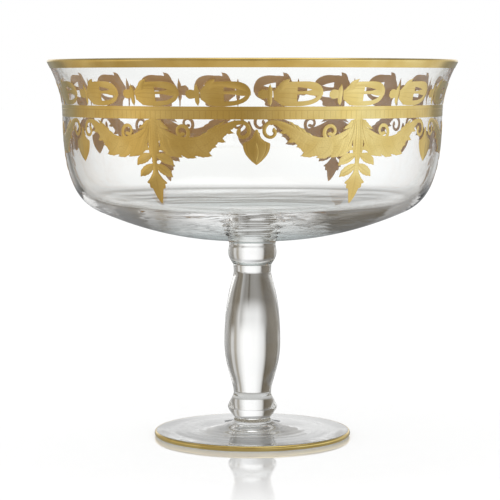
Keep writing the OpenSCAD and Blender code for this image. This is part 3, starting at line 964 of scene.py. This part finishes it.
# The most light from each height in the studio, from straight down at 0 to straight up at 1.
light_by_height = [
    (0.0, (0.97, 0.97, 0.97)),
    (0.12, (0.97, 0.97, 0.97)),
    (0.17, (0.42, 0.42, 0.41)),
    (0.20, (0.42, 0.42, 0.41)),
    (0.25, (1.5, 1.5, 1.5)),
    (0.6, (1.5, 1.5, 1.5)),
    (0.655, (0.7, 0.7, 0.7)),
    (0.711, (0.42, 0.42, 0.42)),
    (0.757, (0.32, 0.32, 0.31)),
    (0.872, (0.32, 0.32, 0.31)),
    (0.94, (0.9, 0.9, 0.9)),
    (1.0, (0.95, 0.95, 0.95)),
]


def studio_by_bearing(x, y, stops):
    """What the glass or the gold sees of the studio towards a place beside the object."""
    bearing = x.maths("ARCTAN2", x, y) / (2 * math.pi) + 0.5
    return x.node("ShaderNodeValToRGB", {"stops": stops}, {"Fac": bearing}, "Color")


# How far from the axis the table's polish fades, the painted shadow below the foot ends, and the
# painted walls begin in what the gold mirrors, which are further off to the sides.
polish_full_r = 55 * MM
polish_end_r = 260 * MM
polish_most = 0.55
foot_shade_r = 70 * MM
open_table_r = 130 * MM
wall_near_r = 320 * MM
wall_far_r = 400 * MM
wall_side_shift = 100 * MM
behind_near_r = 500 * MM
behind_far_r = 1000 * MM
foot_side = 30 * MM
foot_back_from = 25 * MM
foot_back_to = 55 * MM
WHITE = (1, 1, 1, 1)
BLACK = (0, 0, 0, 1)
TABLE_WHITE = (0.98, 0.98, 0.98, 1)
TABLE_LIFT = (0.05, 0.05, 0.05, 1)
# Tones painted on the table as a glow, for the gold and the glass: painted shade behind and below the bowl
# and round the foot, and the paler painted shade seen through the foot from above.
BEHIND_NEAR = (0.17, 0.17, 0.175, 1)
BEHIND_FAR = (0.33, 0.34, 0.34, 1)
BELOW_BOWL = (0.4, 0.4, 0.38, 1)
LEFT_OF_FOOT = (0.16, 0.16, 0.155, 1)
RIGHT_OF_FOOT = (0.36, 0.36, 0.355, 1)
BACK_OF_FOOT = (0.44, 0.44, 0.43, 1)
FOOT_FROM_ABOVE = (0.62, 0.62, 0.615, 1)


def tone(colour):
    """The table glowing in a tone of its own, which no light changes: an even lift to white for the camera,
    and painted shade and painted reflection where the gold and the glass see it.
    """
    return colour.node("ShaderNodeEmission", {}, {"Color": colour, "Strength": 1.0})


floor_gap = 0.2 * MM
floor_half = 12
floor_mesh = bpy.data.meshes.new("table_top")
floor_signs = ((-1, -1), (1, -1), (1, 1), (-1, 1))
floor_corners = [(x * floor_half, y * floor_half, -floor_gap) for x, y in floor_signs]
floor_mesh.from_pydata(floor_corners, [], [(0, 1, 2, 3)])
table_finish = bpy.data.materials.new("white_table")
table_finish.use_nodes = True
table_finish.node_tree.nodes.clear()
table = Link(table_finish.node_tree)
table_place = table.node("ShaderNodeTexCoord", output="Object")
table_x = table.node("ShaderNodeSeparateXYZ", {}, {"Vector": table_place})
table_y = table_x.other("Y")
reach_square = table_x * table_x + table_y * table_y
reach = reach_square.maths("SQRT", reach_square)
by_gold = table.node("ShaderNodeLightPath", output="Is Glossy Ray")
by_glass = by_gold.other("Is Transmission Ray")
by_camera = by_gold.other("Is Camera Ray")

# What the camera sees: white, with a polish near the foot that mirrors it.
table_base = table.node("ShaderNodeBsdfDiffuse", {}, {"Color": TABLE_WHITE})
table_lift = tone(by_camera.blend(BLACK, TABLE_LIFT))
table_lit = table.node("ShaderNodeAddShader", {}, {0: table_base, 1: table_lift})
table_gloss = table.node("ShaderNodeBsdfGlossy", {}, {"Color": WHITE, "Roughness": 0.05})
polish = (1 - reach.between(polish_full_r, polish_end_r)) * polish_most
table_shown = table.node("ShaderNodeMixShader", {}, {0: polish, 1: table_lit, 2: table_gloss})

# What the gold mirrors of the table is painted on it as a glow: painted shade below the bowl, painted
# light and shade of the table round it, and painted walls beyond, dark behind the object.
near_gold = studio_by_bearing(table_x, table_y, table_before_gold)
far_gold = studio_by_bearing(table_x, table_y, walls_before_gold)
behind = (table_y / reach).between(0.55, 0.75)
far_behind = reach.between(behind_near_r, behind_far_r).blend(BEHIND_NEAR, BEHIND_FAR)
far_away = behind.blend(far_gold, far_behind)
aside = table_x.maths("ABSOLUTE", table_x / reach)
wall_reach = reach - aside * wall_side_shift
out_to_walls = wall_reach.between(wall_near_r, wall_far_r).blend(near_gold, far_away)
beyond_shade = reach.between(foot_shade_r, open_table_r)
below_gold = beyond_shade.blend(BELOW_BOWL, out_to_walls)
table_for_gold = tone(below_gold)

# What shows through the foot is painted on the table: a grey painted reflection of the room at a low
# angle and a paler painted shade from above. Further out the glass looks through to the studio's
# own tones.
beside_foot = table_x.between(-foot_side, foot_side).blend(LEFT_OF_FOOT, RIGHT_OF_FOOT)
painted_shade_and_reflection_low = table_y.between(foot_back_from, foot_back_to).blend(beside_foot, BACK_OF_FOOT)
low_angle = table.node("ShaderNodeLayerWeight", {}, {"Blend": 0.5}, "Facing").between(0.45, 0.7)
seen_below = low_angle.blend(FOOT_FROM_ABOVE, painted_shade_and_reflection_low)
below_foot = tone(seen_below)
far_table = table.node("ShaderNodeBsdfTransparent", {}, {"Color": WHITE})
table_for_glass = table.node("ShaderNodeMixShader", {}, {0: beyond_shade, 1: below_foot, 2: far_table})

table_by_gold = table.node("ShaderNodeMixShader", {}, {0: by_gold, 1: table_shown, 2: table_for_gold})
table_all = table.node("ShaderNodeMixShader", {}, {0: by_glass, 1: table_by_gold, 2: table_for_glass})
table.node("ShaderNodeOutputMaterial", {}, {"Surface": table_all})
floor_mesh.materials.append(table_finish)
floor = bpy.data.objects.new("table_top", floor_mesh)
bpy.context.scene.collection.objects.link(floor)

# The room round the table. The glass sees it in layers, each of which gives way to the next one
# up between two sines of the elevation.
down_end = (-0.76, -0.66)
shade_end = (-0.3, -0.2)
table_end = (-0.2, -0.14)
walls_end = (0.18, 0.25)
studio = bpy.data.worlds.new("studio")
bpy.context.scene.world = studio
studio.use_nodes = True
studio.node_tree.nodes.clear()
sky = Link(studio.node_tree)
way = sky.node("ShaderNodeTexCoord", output="Generated")
way_x = sky.node("ShaderNodeSeparateXYZ", {}, {"Vector": way})
way_y, way_z = way_x.other("Y"), way_x.other("Z")
glass_shade = studio_by_bearing(way_x, way_y, shade_behind_glass)
glass_table = studio_by_bearing(way_x, way_y, table_behind_glass)
glass_walls = studio_by_bearing(way_x, way_y, walls_behind_glass)
glass_high = studio_by_bearing(way_x, way_y, walls_above_glass)
gold_walls = studio_by_bearing(way_x, way_y, walls_before_gold)
below_glass = way_z.between(*shade_end).blend(glass_shade, glass_table)
straight_down = way_z.between(*down_end).blend(WHITE, below_glass)
level_glass = way_z.between(*table_end).blend(straight_down, glass_walls)
around_glass = way_z.between(*walls_end).blend(level_glass, glass_high)
mirrored = sky.node("ShaderNodeLightPath", output="Is Glossy Ray")
through_glass = mirrored.other("Is Transmission Ray")
around = through_glass.blend(gold_walls, around_glass)
most_light = sky.node("ShaderNodeValToRGB", {"stops": light_by_height}, {"Fac": way_z * 0.5 + 0.5}, "Color")
darker = {"data_type": "RGBA", "blend_type": "DARKEN"}
room = sky.node("ShaderNodeMix", darker, {0: 1.0, 6: around, 7: most_light}, 2)
by_object = mirrored.maths("MAXIMUM", mirrored, through_glass)
backdrop = sky.node("ShaderNodeBackground", {}, {"Color": by_object.blend(WHITE, room), "Strength": 1.0})
sky.node("ShaderNodeOutputWorld", {}, {"Surface": backdrop})

lamp_width = 1.6
lamp_depth = 1.2
lamp_power = 4
lamp_place = (0.3, -0.2, 1.9)
lamp_data = bpy.data.lights.new("overhead_softbox", "AREA")
lamp_data.shape = "RECTANGLE"
lamp_data.size = lamp_width
lamp_data.size_y = lamp_depth
lamp_data.energy = lamp_power
lamp = bpy.data.objects.new("overhead_softbox", lamp_data)
lamp.location = lamp_place
bpy.context.scene.collection.objects.link(lamp)


# Camera: far off with a long lens, just below the height of the lip, a little left of the pendant
# in front, and tilted down to the foot.

camera_away = 1188 * MM
camera_height = 212.7 * MM
camera_turn = math.radians(1.1)
camera_aside = 1.4 * MM
camera_tilt = math.radians(4.9)
camera_lens = 144.36
camera_data = bpy.data.cameras.new("camera")
camera_data.lens = camera_lens
camera = bpy.data.objects.new("camera", camera_data)
camera.location = (
    -camera_away * math.sin(camera_turn) - camera_aside * math.cos(camera_turn),
    -camera_away * math.cos(camera_turn) + camera_aside * math.sin(camera_turn),
    camera_height,
)
camera.rotation_euler = (math.pi / 2 - camera_tilt, 0, -camera_turn)
bpy.context.scene.collection.objects.link(camera)
bpy.context.scene.camera = camera
bpy.context.scene.view_settings.view_transform = "Standard"

# Light that runs inside the thick floor of the bowl is thrown back many times before it leaves.
bpy.context.scene.cycles.max_bounces = 48
bpy.context.scene.cycles.glossy_bounces = 40
bpy.context.scene.cycles.transmission_bounces = 48
bpy.context.scene.cycles.transparent_max_bounces = 24
